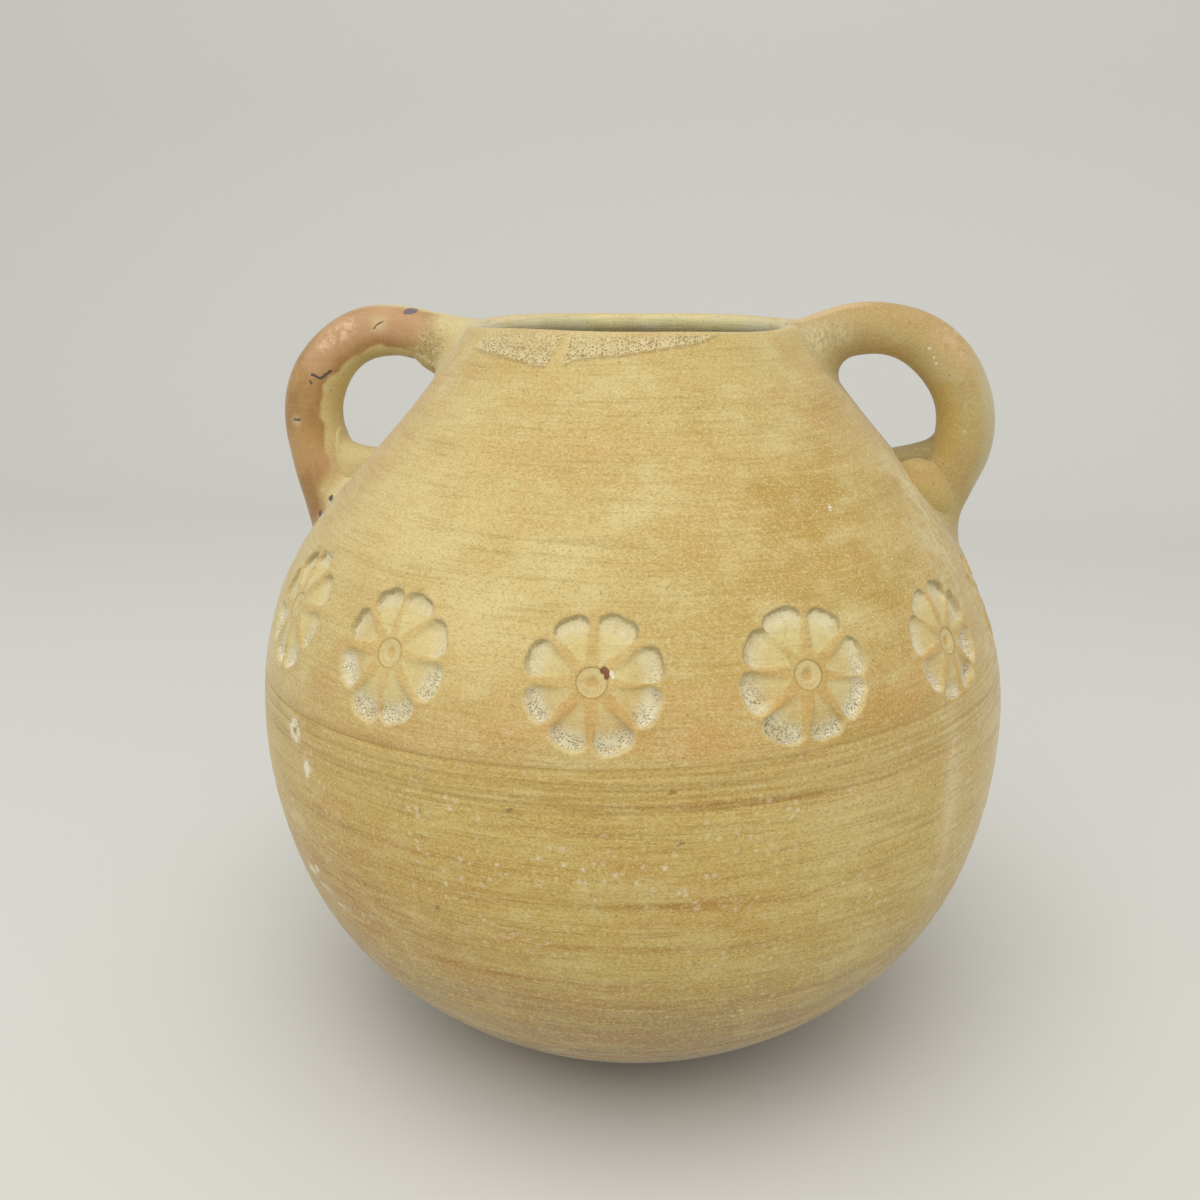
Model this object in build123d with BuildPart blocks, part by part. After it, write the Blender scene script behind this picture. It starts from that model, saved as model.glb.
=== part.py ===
"""Two-handled earthenware olla, built as the potter builds it: a round bowl, a shoulder stamped with
rosettes, a rim coil, two rolled loop handles and the wads of clay that lute the handles on."""

import os
from math import asin, atan2, cos, degrees, radians, sin, sqrt

from build123d import *

# Driving dimensions in millimetres and degrees. The pot stands on z = 0 with its axis on Z.

# Outer wall: a flat foot, a round belly and a wall that closes in to the neck
belly_radius = 82.5
belly_height = 77.0
foot_radius = 33.0
foot_flare = 27.5
foot_curve_length = 32.0
bowl_curve_length = 42.5
shoulder_curve_length = 39.0
neck_radius = 39.8
neck_rise = 76.0
neck_slope = 56.7
neck_curve_length = 32.0
lip_rise = 6.5
foot_edge_radius = 3.0

# Thickness of the clay
belly_thickness = 6.5
lip_thickness = 4.7
floor_thickness = 8.0
floor_radius = 27.0

# Joints of the wall: the bowl's is above the belly and tilts up to the right, the rim's is below the neck
bowl_joint_rise = 13.9
bowl_joint_tilt = 2.0
rim_joint_drop = 3.0

# Stamped rosettes, at a share of the shoulder's outer line from the belly at 0 to the neck at 1
rosette_count = 13
rosette_share = 0.3212
rosette_first_angle = -86.9
rosette_radius = 11.9
petal_count = 8
petal_half_angle = 25.0
petal_tip_radius = 2.9
petal_corner_radius = 2.1
petal_tip_depth = 0.2
petal_end_depth = 2.0
boss_radius = 2.5
boss_depth = 0.35
dimple_radius = 1.0
dimple_depth = 0.7
stamp_clearance = 4.0

# Rolled handles: each runs from its seat in the rim, round a loop and down to its root in the shoulder.
# Roots and wads stand at shares of the shoulder's outer line.
handle_sink_depth = 11.0
mouth_column_height = 30.0
loop_steps = 6
left_seat_depth = 6.1
left_loop_radius = 20.0
left_drop_angle = 8.0
left_drop_length = 18.2
left_root_share = 0.4665
left_crown_thickness = 10.4
left_grip_thickness = 13.6
right_seat_depth = 5.2
right_loop_radius = 20.3
right_drop_angle = 26.0
right_drop_length = 8.5
right_root_share = 0.5405
right_crown_thickness = 9.8
right_grip_thickness = 12.0

# Wads of luting clay, round lumps seated between a handle and the wall
upper_wad_radius = 6.5
upper_wad_rise = 2.2
left_upper_wad_share = 0.945
right_upper_wad_share = 0.96
lower_wad_radius = 8.0
lower_wad_depth = 1.0
left_lower_wad_share = 0.585
right_lower_wad_share = 0.582


def heading(angle):
    """Unit vector at an angle in a section plane."""
    return Vector(cos(radians(angle)), sin(radians(angle)))


# Neck and lip in section: the wall leans in up the slope and the lip is a half round over it
up_slope = heading(180 - neck_slope)
into_clay = heading(270 - neck_slope)
neck_outer = Vector(neck_radius, belly_height + neck_rise)
neck_inner = neck_outer + into_clay * lip_thickness
lip_edge_radius = lip_thickness / 2
lip_edge_rise = lip_rise - lip_edge_radius * (1 - cos(radians(neck_slope)))
lip_outer = neck_outer + up_slope * (lip_edge_rise / sin(radians(neck_slope)))
lip_inner = lip_outer + into_clay * lip_thickness
lip_crest_radius = (lip_outer.X + lip_inner.X) / 2


def bowl_curve(radius, end):
    """Control points of the curve from the belly down to the foot, or inside down to the floor."""
    belly = Vector(radius, belly_height)
    return [belly, belly - (0, bowl_curve_length), end + heading(foot_flare) * foot_curve_length, end]


def shoulder_curve(radius, neck):
    """Control points of the curve from the belly up to the neck."""
    belly = Vector(radius, belly_height)
    return [belly, belly + (0, shoulder_curve_length), neck - up_slope * neck_curve_length, neck]


def outer_lines():
    """Outline of the pot in section, from the middle of the foot up to the inner edge of the lip."""
    foot_edge = Vector(foot_radius, 0)
    Line((0, 0), foot_edge)
    Bezier(*reversed(bowl_curve(belly_radius, foot_edge)))
    Bezier(*shoulder_curve(belly_radius, neck_outer))
    Line(neck_outer, lip_outer)
    TangentArc(lip_outer, lip_inner, tangent=up_slope)


# Section of the clay wall, hollow inside
with BuildSketch(Plane.XZ) as wall_section:
    with BuildLine():
        inner_belly = belly_radius - belly_thickness
        floor_edge = Vector(floor_radius, floor_thickness)
        outer_lines()
        Line(lip_inner, neck_inner)
        Bezier(*reversed(shoulder_curve(inner_belly, neck_inner)))
        Bezier(*bowl_curve(inner_belly, floor_edge))
        Line(floor_edge, (0, floor_thickness))
        Line((0, floor_thickness), (0, 0))
    make_face()

# Joint planes of the wall
bowl_joint = Plane(
    origin=(0, 0, belly_height + bowl_joint_rise),
    z_dir=(-sin(radians(bowl_joint_tilt)), 0, cos(radians(bowl_joint_tilt))),
)
rim_joint = Plane.XY.offset(neck_outer.Y - rim_joint_drop)

# The shoulder's outer line, which places the rosettes, the roots of the handles and the wads
with BuildLine() as shoulder_line:
    Bezier(*shoulder_curve(belly_radius, neck_outer))


def off_shoulder(share, stand):
    """Point at a share of the shoulder's outer line, standing off it by a distance."""
    along = shoulder_line.line % share
    return shoulder_line.line @ share + Vector(along.Y, -along.X) * stand


# The same pot filled to its lip, with a column over its mouth, which trims what is luted on to it
with BuildSketch(Plane.XZ) as filled_section:
    with BuildLine():
        outer_lines()
        Line(lip_inner, (0, lip_inner.Y))
        Line((0, lip_inner.Y), (0, 0))
    make_face()

with BuildPart() as filled_pot:
    revolve(filled_section.sketch, axis=Axis.Z)
    with Locations((0, 0, lip_inner.Y)):
        Cylinder(lip_crest_radius, mouth_column_height, align=(Align.CENTER, Align.CENTER, Align.MIN))

# Lower bowl, from the foot up to the scraped seam
with BuildPart() as lower_bowl:
    revolve(wall_section.sketch, axis=Axis.Z)
    fillet(lower_bowl.edges().group_by(Axis.Z)[0], foot_edge_radius)
    split(bisect_by=bowl_joint, keep=Keep.BOTTOM)
lower_bowl.part.label = "lower_bowl"

# Place of the first stamp, square on the shoulder's outer line
stamp_spot = shoulder_line.line @ rosette_share
stamp_slope = shoulder_line.line % rosette_share
stamp_plane = Plane(
    origin=(stamp_spot.X, 0, stamp_spot.Y),
    x_dir=(0, 1, 0),
    z_dir=(stamp_slope.Y, 0, -stamp_slope.X),
)

# One petal, a wedge with its point towards the boss and a rounded outer end
petal_tip = Vector(petal_tip_radius, 0)
across_tip = petal_tip_radius * sin(radians(petal_half_angle))
along_tip = petal_tip_radius * cos(radians(petal_half_angle))
petal_corner = petal_tip + heading(petal_half_angle) * (sqrt(rosette_radius**2 - across_tip**2) - along_tip)
petal_far_corner = Vector(petal_corner.X, -petal_corner.Y)
with BuildSketch() as petal:
    with BuildLine():
        Line(petal_tip, petal_corner)
        ThreePointArc(petal_corner, (rosette_radius, 0), petal_far_corner)
        Line(petal_far_corner, petal_tip)
    make_face()
    fillet(petal.vertices().group_by(Axis.X)[-1], petal_corner_radius)

# Rosette stamp: petals that sink from their points to their outer ends, round a boss with a dimple
with BuildSketch(stamp_plane) as petal_ring:
    with PolarLocations(0, petal_count, start_angle=180 / petal_count):
        add(petal.sketch)

with BuildSketch(stamp_plane) as boss:
    Circle(boss_radius)

with BuildSketch(stamp_plane) as dimple:
    Circle(dimple_radius)

petal_fall = (petal_end_depth - petal_tip_depth) / (rosette_radius - petal_tip_radius)
with BuildPart() as stamp:
    extrude(petal_ring.sketch, amount=stamp_clearance)
    extrude(petal_ring.sketch, amount=-petal_end_depth)
    with Locations(stamp_plane.offset(-petal_end_depth)):
        Cone(
            bottom_radius=rosette_radius,
            top_radius=0,
            height=petal_fall * rosette_radius,
            align=(Align.CENTER, Align.CENTER, Align.MIN),
            mode=Mode.SUBTRACT,
        )
    extrude(boss.sketch, amount=stamp_clearance)
    extrude(boss.sketch, amount=-boss_depth)
    extrude(dimple.sketch, amount=-dimple_depth)

# Shoulder, from the scraped seam up to the rim, with its ring of rosettes
with BuildPart() as shoulder:
    revolve(wall_section.sketch, axis=Axis.Z)
    split(bisect_by=bowl_joint, keep=Keep.TOP)
    split(bisect_by=rim_joint, keep=Keep.BOTTOM)
    with PolarLocations(0, rosette_count, start_angle=rosette_first_angle):
        add(stamp.part, mode=Mode.SUBTRACT)
shoulder.part.label = "shoulder"

# Rim coil, the last course of the wall with its round lip
with BuildPart() as rim_coil:
    revolve(wall_section.sketch, axis=Axis.Z)
    split(bisect_by=rim_joint, keep=Keep.TOP)
rim_coil.part.label = "rim_coil"

# Sides of the pot: local x runs out from the axis and local y runs up
left_side = Plane(origin=(0, 0, 0), x_dir=(-1, 0, 0), z_dir=(0, 1, 0))
right_side = Plane.XZ


def handle_sections(seat_depth, loop_radius, drop_angle, drop_length, root_share, crown_coil, grip_coil):
    """Places along a handle's centre line, each a point, a heading and the coil's thickness there.
    The coil leaves its seat in the rim on a tangent to the loop, drops from the loop to its root
    and sinks in below the wall's face."""
    seat = Vector(lip_crest_radius, neck_outer.Y + lip_rise - seat_depth)
    root = off_shoulder(root_share, 0)
    down = -90 - drop_angle
    loop_centre = root - heading(down) * drop_length - heading(-drop_angle) * loop_radius
    to_loop = loop_centre - seat
    rise = degrees(atan2(to_loop.Y, to_loop.X) + asin(loop_radius / to_loop.length))
    crown_angle = 90 + rise
    loop_turn = crown_angle + drop_angle
    places = [(seat, rise, crown_coil)]
    for step in range(loop_steps + 1):
        share = step / loop_steps
        angle = crown_angle - share * loop_turn
        thickness = crown_coil + share * (grip_coil - crown_coil)
        places.append((loop_centre + heading(angle) * loop_radius, angle - 90, thickness))
    places.append((root, down, grip_coil))
    places.append((root + heading(down) * handle_sink_depth, down, grip_coil))
    return places


def square_plane(side, point, angle):
    """Plane square to a handle's centre line, turned the same way all along it."""
    spot = side.from_local_coords(point)
    ahead = side.from_local_coords(point + heading(angle)) - spot
    return Plane(origin=spot, x_dir=(0, 1, 0), z_dir=ahead)


# Left handle, thinner over the crown than down the grip
left_sections = handle_sections(
    left_seat_depth,
    left_loop_radius,
    left_drop_angle,
    left_drop_length,
    left_root_share,
    left_crown_thickness,
    left_grip_thickness,
)
with BuildPart() as left_handle:
    for point, angle, thickness in left_sections:
        with BuildSketch(square_plane(left_side, point, angle)):
            Circle(thickness / 2)
    loft()
    add(filled_pot.part, mode=Mode.SUBTRACT)
left_handle.part.label = "left_handle"

# Right handle, a thinner coil whose lower end bends in further
right_sections = handle_sections(
    right_seat_depth,
    right_loop_radius,
    right_drop_angle,
    right_drop_length,
    right_root_share,
    right_crown_thickness,
    right_grip_thickness,
)
with BuildPart() as right_handle:
    for point, angle, thickness in right_sections:
        with BuildSketch(square_plane(right_side, point, angle)):
            Circle(thickness / 2)
    loft()
    add(filled_pot.part, mode=Mode.SUBTRACT)
right_handle.part.label = "right_handle"

# Wads of luting clay, trimmed to the wall and to the handle that they hold
with BuildPart() as left_upper_wad:
    with Locations(left_side.from_local_coords(off_shoulder(left_upper_wad_share, upper_wad_rise))):
        Sphere(upper_wad_radius)
    add(filled_pot.part, mode=Mode.SUBTRACT)
    add(left_handle.part, mode=Mode.SUBTRACT)
left_upper_wad.part.label = "left_upper_wad"

with BuildPart() as left_lower_wad:
    with Locations(left_side.from_local_coords(off_shoulder(left_lower_wad_share, -lower_wad_depth))):
        Sphere(lower_wad_radius)
    add(filled_pot.part, mode=Mode.SUBTRACT)
    add(left_handle.part, mode=Mode.SUBTRACT)
left_lower_wad.part.label = "left_lower_wad"

with BuildPart() as right_upper_wad:
    with Locations(right_side.from_local_coords(off_shoulder(right_upper_wad_share, upper_wad_rise))):
        Sphere(upper_wad_radius)
    add(filled_pot.part, mode=Mode.SUBTRACT)
    add(right_handle.part, mode=Mode.SUBTRACT)
right_upper_wad.part.label = "right_upper_wad"

with BuildPart() as right_lower_wad:
    with Locations(right_side.from_local_coords(off_shoulder(right_lower_wad_share, -lower_wad_depth))):
        Sphere(lower_wad_radius)
    add(filled_pot.part, mode=Mode.SUBTRACT)
    add(right_handle.part, mode=Mode.SUBTRACT)
right_lower_wad.part.label = "right_lower_wad"

# One file for each piece
os.makedirs("parts", exist_ok=True)
export_step(lower_bowl.part, "parts/lower_bowl.step")
export_step(shoulder.part, "parts/shoulder.step")
export_step(rim_coil.part, "parts/rim_coil.step")
export_step(left_handle.part, "parts/left_handle.step")
export_step(right_handle.part, "parts/right_handle.step")
export_step(left_upper_wad.part, "parts/left_upper_wad.step")
export_step(left_lower_wad.part, "parts/left_lower_wad.step")
export_step(right_upper_wad.part, "parts/right_upper_wad.step")
export_step(right_lower_wad.part, "parts/right_lower_wad.step")
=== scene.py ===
"""Looks of a two-handled earthenware olla: a scraped bowl, a shoulder stamped with rosettes, a rim coil,
two rolled handles and the wads that lute them on. Lengths are in millimetres until a mesh is made."""

from math import asin, atan2, cos, degrees, pi, radians, sin, tan

import bpy
import numpy as np
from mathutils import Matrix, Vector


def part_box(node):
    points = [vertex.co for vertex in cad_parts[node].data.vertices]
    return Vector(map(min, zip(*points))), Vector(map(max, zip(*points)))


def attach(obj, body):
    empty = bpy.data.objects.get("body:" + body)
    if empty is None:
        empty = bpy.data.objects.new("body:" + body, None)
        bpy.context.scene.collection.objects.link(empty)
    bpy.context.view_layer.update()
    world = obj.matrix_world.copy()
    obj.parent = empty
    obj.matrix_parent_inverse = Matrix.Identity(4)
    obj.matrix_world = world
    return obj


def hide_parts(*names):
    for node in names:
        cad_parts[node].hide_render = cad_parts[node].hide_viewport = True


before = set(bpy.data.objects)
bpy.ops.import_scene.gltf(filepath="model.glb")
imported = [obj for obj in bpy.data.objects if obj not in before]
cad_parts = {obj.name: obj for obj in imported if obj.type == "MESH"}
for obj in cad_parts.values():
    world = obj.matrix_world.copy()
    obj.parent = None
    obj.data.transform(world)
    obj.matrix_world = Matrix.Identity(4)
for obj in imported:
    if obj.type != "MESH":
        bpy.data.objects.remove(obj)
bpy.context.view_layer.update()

MM = 0.001

# Sizes that the frame gives
belly_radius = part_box("lower_bowl")[1].x / MM
lip_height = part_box("rim_coil")[1].z / MM
rim_joint_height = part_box("rim_coil")[0].z / MM

# Section of the pot
belly_height = 77.0
foot_radius = 33.0
foot_flare = 27.5
foot_fullness = 32.0
foot_edge_cut = 0.8
bowl_fullness = 42.5
shoulder_fullness = 39.0
neck_radius = 39.8
neck_height = 153.0
neck_slope = 56.7
neck_fullness = 32.0
belly_wall = 6.5
lip_thickness = 4.7
floor_thickness = 8.0
floor_radius = 27.0
bowl_joint_height = 90.9
bowl_joint_tilt = 2.0

# Points along the section: its long curves, the flat of the foot, the foot's edge, and how many of the
# bowl's curve that edge takes the place of
curve_points = 700
foot_points = 60
edge_points = 12
edge_overlap = 8

# Stamped rosettes: direction from the axis, height, turn of the petals and how the stamp leaned
rosettes = [
    (-142.1, 106.4, 10.0, 0.2, 0.1),
    (-115.9, 105.4, 3.0, 0.1, -0.1),
    (-86.9, 104.9, 0.0, 0.0, -0.3),
    (-58.8, 104.6, -9.0, -0.4, -0.35),
    (-30.6, 103.8, 6.0, 0.2, -0.3),
    (-3.0, 104.2, 0.0, 0.1, 0.2),
    (24.6, 104.6, 12.0, -0.2, 0.1),
    (52.2, 104.9, -5.0, 0.1, -0.2),
    (79.8, 105.2, 4.0, 0.3, 0.1),
    (107.4, 105.5, 15.0, -0.1, 0.2),
    (135.0, 105.8, -8.0, 0.2, -0.1),
    (162.6, 106.1, 2.0, -0.2, 0.2),
    (190.2, 106.4, 7.0, 0.1, 0.1),
]
rosette_height = 105.0
rosette_radius = 11.9
stamp_reach = 13.6
petal_count = 8
petal_tip_at = 2.9
petal_half_angle = radians(25.0)
petal_corner = 2.7
petal_tip_depth = 0.06
petal_end_depth = 1.3
petal_edge = 0.5
boss_radius = 2.35
boss_depth = 0.36
dimple_radius = 1.0
dimple_depth = 0.4
boss_ring_radius = 1.65
boss_ring_height = 0.22
boss_ring_width = 0.4
swell_height = 0.15
swell_width = 0.5
swell_from = 5.0

# Mean and spread of a petal's length and width, as shares of the stamp's own, and of its swing in radians
petal_means = (1.03, 1.17, 0.0)
petal_spreads = (0.03, 0.06, 0.03)

# Rings that the scraper left: how many, and between which heights
scraper_rings = 70
scraped_heights = (8, 92)

# Fine lines scraped along the joint of bowl and shoulder: place below it, depth, width and phase
seam_lines = [
    (0.0, 0.13, 0.38, 4.2),
    (1.5, 0.14, 0.36, 0.4),
    (2.6, 0.09, 0.34, 4.0),
    (3.9, 0.1, 0.4, 1.1),
    (-1.3, 0.06, 0.36, 5.1),
    (5.3, 0.08, 0.36, 2.9),
    (6.5, 0.07, 0.36, 3.4),
    (8.0, 0.08, 0.38, 2.0),
]
# Depth of a seam line at which the painted shade in it is darkest
darkest_groove = 0.16

# Handles: seat in the rim, loop, drop to the root in the shoulder, thickness of the coil, which flares to
# its seat, and the turns of the quarter circle that takes its ends down to the wall
seat_flare = 0.35
skirt_turns = np.radians([12, 24, 36, 48, 60, 72, 82, 90])
left_values = dict(
    turn=180.0, seat_depth=5.9, loop=20.0, drop=13.0, run=16.41, root=0.4719, crown=10.7, grip=13.2
)
right_values = dict(
    turn=0.0, seat_depth=5.5, loop=20.3, drop=25.0, run=8.08, root=0.5554, crown=10.6, grip=12.2
)

# Marks on the bowl. A row is one soft mound: direction from the axis, height, half width in degrees, half
# rise and strength. Rust lines wave a little up and down
rust_lines = [
    (-82, 65.4, 26, 0.7, 1),
    (-78, 56.0, 20, 0.7, 1),
    (-70, 84.5, 16, 0.7, 1),
    (-100, 47.0, 24, 0.7, 1),
    (-120, 71.0, 18, 0.7, 1),
    (60, 60.0, 50, 0.7, 1),
    (150, 50.0, 40, 0.7, 1),
]
rust_clouds = [(-124, 54, 20, 12, 0.85), (-85, 28, 50, 9, 0.5)]
bowl_marks = {
    # Painted light: paler patches towards the right of the bowl
    "painted_light": [(-53, 82, 11, 10, 1), (-33, 77, 4, 17, 1), (-12, 75, 12, 26, 1)],
    # Painted light: a pale upright streak down the right of the bowl, and a broader brightening beside it
    "streak": [(-34.5, 78, 1.5, 20, 1), (-13, 72, 13, 26, 0.6)],
    # Places where white grains crowd
    "white": [
        (-108, 81, 2.6, 8, 1),
        (-105, 78, 9, 6, 1),
        (-128, 82, 9, 7, 1),
        (-33, 88, 2.2, 7, 1),
        (-123, 50, 7, 2, 1),
        (-62, 82, 9, 6, 1),
        (-106, 68, 5, 7, 1),
        (-92, 74, 12, 6, 1),
        (-76, 70, 10, 6, 1),
        (-50, 62, 9, 8, 1),
        (-30, 70, 2.4, 18, 1),
    ],
    # White slip wiped thin, and the thicker dabs in it, with a hole in the largest
    "smear": [
        (-134.1, 85.0, 1.4, 2.4, 1),
        (-130.5, 78.9, 1.0, 2.4, 1),
        (-136.5, 52.5, 1.6, 1.2, 1),
        (-132, 50.5, 1.8, 1.0, 1),
        (-128, 48.4, 1.6, 0.8, 1),
        (-134.1, 85.0, 0.6, 1.1, -1.4),
    ],
    "dab": [
        (-134.1, 85.0, 1.8, 2.8, 1),
        (-130.6, 78.7, 0.9, 2.2, 1),
        (-136.5, 52.5, 1.5, 0.7, 1),
        (-133.5, 50.9, 1.3, 0.5, 1),
        (-129.0, 48.6, 1.6, 0.4, 1),
        (-134.0, 54.6, 0.6, 1.2, 1),
        (-134.1, 85.0, 0.6, 1.1, -0.8),
    ],
    # Small dark holes
    "spot": [
        (-134.1, 85.1, 0.6, 0.65, 1),
        (-75.8, 78.0, 0.6, 0.65, 1),
        (-76.9, 87.3, 0.6, 0.65, 1),
        (-96.1, 82.8, 0.6, 0.65, 1),
        (-107.4, 60.3, 0.6, 0.65, 1),
    ],
}

# Marks on the shoulder, in the same columns, of which the strongest counts
shoulder_marks = {
    # Pale slip wiped down the wall from the right handle's root
    "smear": [(-14, 124, 6, 8, 1), (-20, 117, 6, 8, 0.9)],
    # Flush of orange at the rosettes, strongest at the front and right
    "band": [(-64, 97, 50, 8, 1)],
    # Left of the shoulder: painted light, paler where the light from the upper left falls
    "painted_light": [(-106, 110, 15, 10, 1), (-125, 128, 20, 16, 0.8)],
    # Brown chip beside the boss of the front rosette, wide at its top
    "chip": [(-85.4, 106.9, 0.62, 0.68, 1), (-85.0, 106.2, 0.5, 0.85, 1)],
    # White grains beside that chip and up on the right
    "fleck": [(-84.45, 106.4, 0.32, 0.6, 1), (-84.2, 105.8, 0.25, 0.3, 1), (-44.3, 128.9, 0.6, 0.85, 1)],
}

# Lower edge of the rough clay under the front lip, in two leaning lobes: directions, then heights
lobe_left = (
    [-148, -140.7, -133.2, -123, -114.7, -109.3, -106.2, -104.4],
    [159, 155.6, 154.9, 154.4, 153.6, 153.1, 153.0, 160],
)
lobe_right = (
    [-103.0, -101.2, -99.2, -96.4, -86.6, -79.6, -73.8, -64.2, -56.0],
    [160, 153.5, 154.2, 154.6, 155.2, 155.9, 156.4, 157.2, 159],
)
lobe_lean = 0.3
lobe_middle = 155
clear_of_lip = 162


def heading(angle):
    """Unit vector at an angle in degrees."""
    return np.stack([np.cos(np.radians(angle)), np.sin(np.radians(angle))], -1)


def smooth(value, low, high):
    """Rises from 0 at low to 1 at high with level ends; falls where high is below low."""
    share = np.clip((value - low) / (high - low), 0, 1)
    return share * share * (3 - 2 * share)


def bezier(a, b, c, d, count):
    """Points of a cubic curve that leaves a towards b and reaches d from c."""
    t = np.linspace(0, 1, count).reshape(-1, *[1] * np.ndim(a))
    return (1 - t) ** 3 * a + 3 * (1 - t) ** 2 * t * b + 3 * (1 - t) * t**2 * c + t**3 * d


def line(a, b, count):
    """Evenly spaced points from a to b."""
    return a + (b - a) * np.linspace(0, 1, count)[:, None]


def spread(start, end, step):
    """Even lengths from start to end, about a step apart."""
    return np.linspace(start, end, max(2, int(round(abs(end - start) / step)) + 1))


def round_axis(columns):
    """One row of even directions round the axis."""
    return (np.arange(columns) / columns * 2 * pi)[None, :]


# Section line of the clay: foot, bowl, shoulder, lip, then down the inside to the floor
up_slope = heading(180 - neck_slope)
into_clay = heading(270 - neck_slope)
neck_outer = np.array([neck_radius, neck_height])
neck_inner = neck_outer + into_clay * lip_thickness
lip_round = lip_thickness / 2
lip_rise = lip_height - neck_height - lip_round * (1 - cos(radians(neck_slope)))
lip_outer = neck_outer + up_slope * lip_rise / sin(radians(neck_slope))
lip_inner = lip_outer + into_clay * lip_thickness
lip_centre = (lip_outer + lip_inner) / 2
foot_edge = np.array([foot_radius, 0.0])
foot_up = foot_edge + heading(foot_flare) * foot_edge_cut
foot_in = foot_edge - np.array([foot_edge_cut, 0.0])
floor_edge = np.array([floor_radius, floor_thickness])


def bowl_curve(radius, end):
    """Curve from the foot or floor up to the belly."""
    belly = np.array([radius, belly_height])
    leave = end + heading(foot_flare) * foot_fullness
    return bezier(end, leave, belly - [0, bowl_fullness], belly, curve_points)


def shoulder_curve(radius, neck):
    """Curve from the belly up to the neck."""
    belly = np.array([radius, belly_height])
    arrive = neck - up_slope * neck_fullness
    return bezier(belly, belly + [0, shoulder_fullness], arrive, neck, curve_points)


lip_turn = np.linspace(90 - neck_slope, 270 - neck_slope, 60)
inner_belly = belly_radius - belly_wall
runs = [
    line(np.zeros(2), foot_in, foot_points),
    bezier(foot_in, foot_edge, foot_edge, foot_up, edge_points),
    bowl_curve(belly_radius, foot_edge)[edge_overlap:],
    shoulder_curve(belly_radius, neck_outer),
    line(neck_outer, lip_outer, 40),
    lip_centre + lip_round * heading(lip_turn),
    line(lip_inner, neck_inner, 40),
    shoulder_curve(inner_belly, neck_inner)[::-1],
    bowl_curve(inner_belly, floor_edge)[::-1],
    line(floor_edge, np.array([0.0, floor_thickness]), 60),
]
section = np.concatenate(runs)
section = section[np.r_[True, np.hypot(*np.diff(section, axis=0).T) > 1e-6]]
along = np.r_[0, np.cumsum(np.hypot(*np.diff(section, axis=0).T))]
slope = np.gradient(section, along, axis=0)
slope /= np.hypot(*slope.T)[:, None]
outward = np.stack([slope[:, 1], -slope[:, 0]], 1)


def length_at(point):
    """Length along the section line of the place nearest to a point."""
    return along[np.argmin(np.hypot(*(section - point).T))]


def radius_at(length):
    """Distance from the axis at a length along the section line."""
    return np.interp(length, along, section[:, 0])


def height_at(length):
    """Height at a length along the section line."""
    return np.interp(length, along, section[:, 1])


belly_at = length_at((belly_radius, belly_height))
neck_at = length_at(neck_outer)
lip_at = length_at(lip_centre + up_slope * lip_round)
inner_neck_at = length_at(neck_inner)
inner_belly_at = length_at((inner_belly, belly_height))
outer_part = (along > belly_at - 40) & (along < neck_at)
inner_part = (along > inner_neck_at) & (along < inner_belly_at + 40)


def length_at_height(height, inside=False):
    """Length along the outer or inner wall at a height, between the lower belly and the neck."""
    if inside:
        return np.interp(height, section[inner_part, 1][::-1], along[inner_part][::-1])
    return np.interp(height, section[outer_part, 1], along[outer_part])


def joint_level(angle, radius):
    """Height of the tilted joint plane of the bowl, by direction and distance from the axis."""
    return bowl_joint_height + radius * np.cos(angle) * tan(radians(bowl_joint_tilt))


def joint_length(angle, inside=False):
    """Length at which the joint plane cuts the wall, found in a few steps from the belly's radius."""
    radius = inner_belly if inside else belly_radius
    for _ in range(4):
        height = joint_level(angle, radius)
        radius = radius_at(length_at_height(height, inside))
    return length_at_height(height, inside)


joint_out = joint_length(np.array(pi / 2))
joint_in = joint_length(np.array(pi / 2), True)


def follow_joint(rows, angle, far, inside=False):
    """Lengths of the rows of a grid: tilted with the joint where they are near it, level from far on."""
    middle = joint_in if inside else joint_out
    return rows[:, None] + (joint_length(angle, inside) - middle) * smooth(rows, far, middle)[:, None]


def waves(angle, height, count, reach, seed):
    """Smooth uneven field: a sum of waves round the axis and up the wall with set random phases."""
    pick = np.random.default_rng(seed)
    total = 0
    for _ in range(count):
        turns = pick.integers(1, 7)
        rise = pick.normal() / reach
        total = total + np.sin(turns * angle + rise * height + pick.uniform(0, 2 * pi))
    return total / np.sqrt(count / 2)


def turn_from(angle, towards):
    """Angle from a direction in degrees, the short way round."""
    return np.radians((np.degrees(angle) - towards + 180) % 360 - 180)


def mound(angle, height, towards, level, width, rise, strength=1):
    """Soft mound centred on a direction and a height, as high as its strength."""
    off = turn_from(angle, towards) / radians(width)
    return strength * np.exp(-(off**2) - ((height - level) / rise) ** 2)


def mounds(angle, height, places):
    """One soft mound for each row of a table of marks."""
    return np.array([mound(angle, height, *place) for place in places])


def wobble(angle, height):
    """How far the hand-built outer wall stands off its turned shape."""
    fade = smooth(height, 6, 40)
    uneven = 0.16 * waves(angle, height, count=9, reach=22.0, seed=3)
    flat_right = mound(angle, height, towards=-12, level=106, width=26, rise=15, strength=-1.6)
    full_left = mound(angle, height, towards=-152, level=104, width=26, rise=15, strength=0.4)
    return fade * uneven + flat_right + full_left


def wall_lift(angle, height, length):
    """Wobble of the wall and of the rim, which dips at the front, carries on over the lip and fades
    inside."""
    rim = 0.12 * waves(angle, height, count=7, reach=9.0, seed=5) + 0.28 * np.sin(angle)
    lift = wobble(angle, height) + rim * smooth(height, neck_height - 3, neck_height + 1)
    return lift * smooth(length, lip_at + 3, lip_at)


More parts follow.
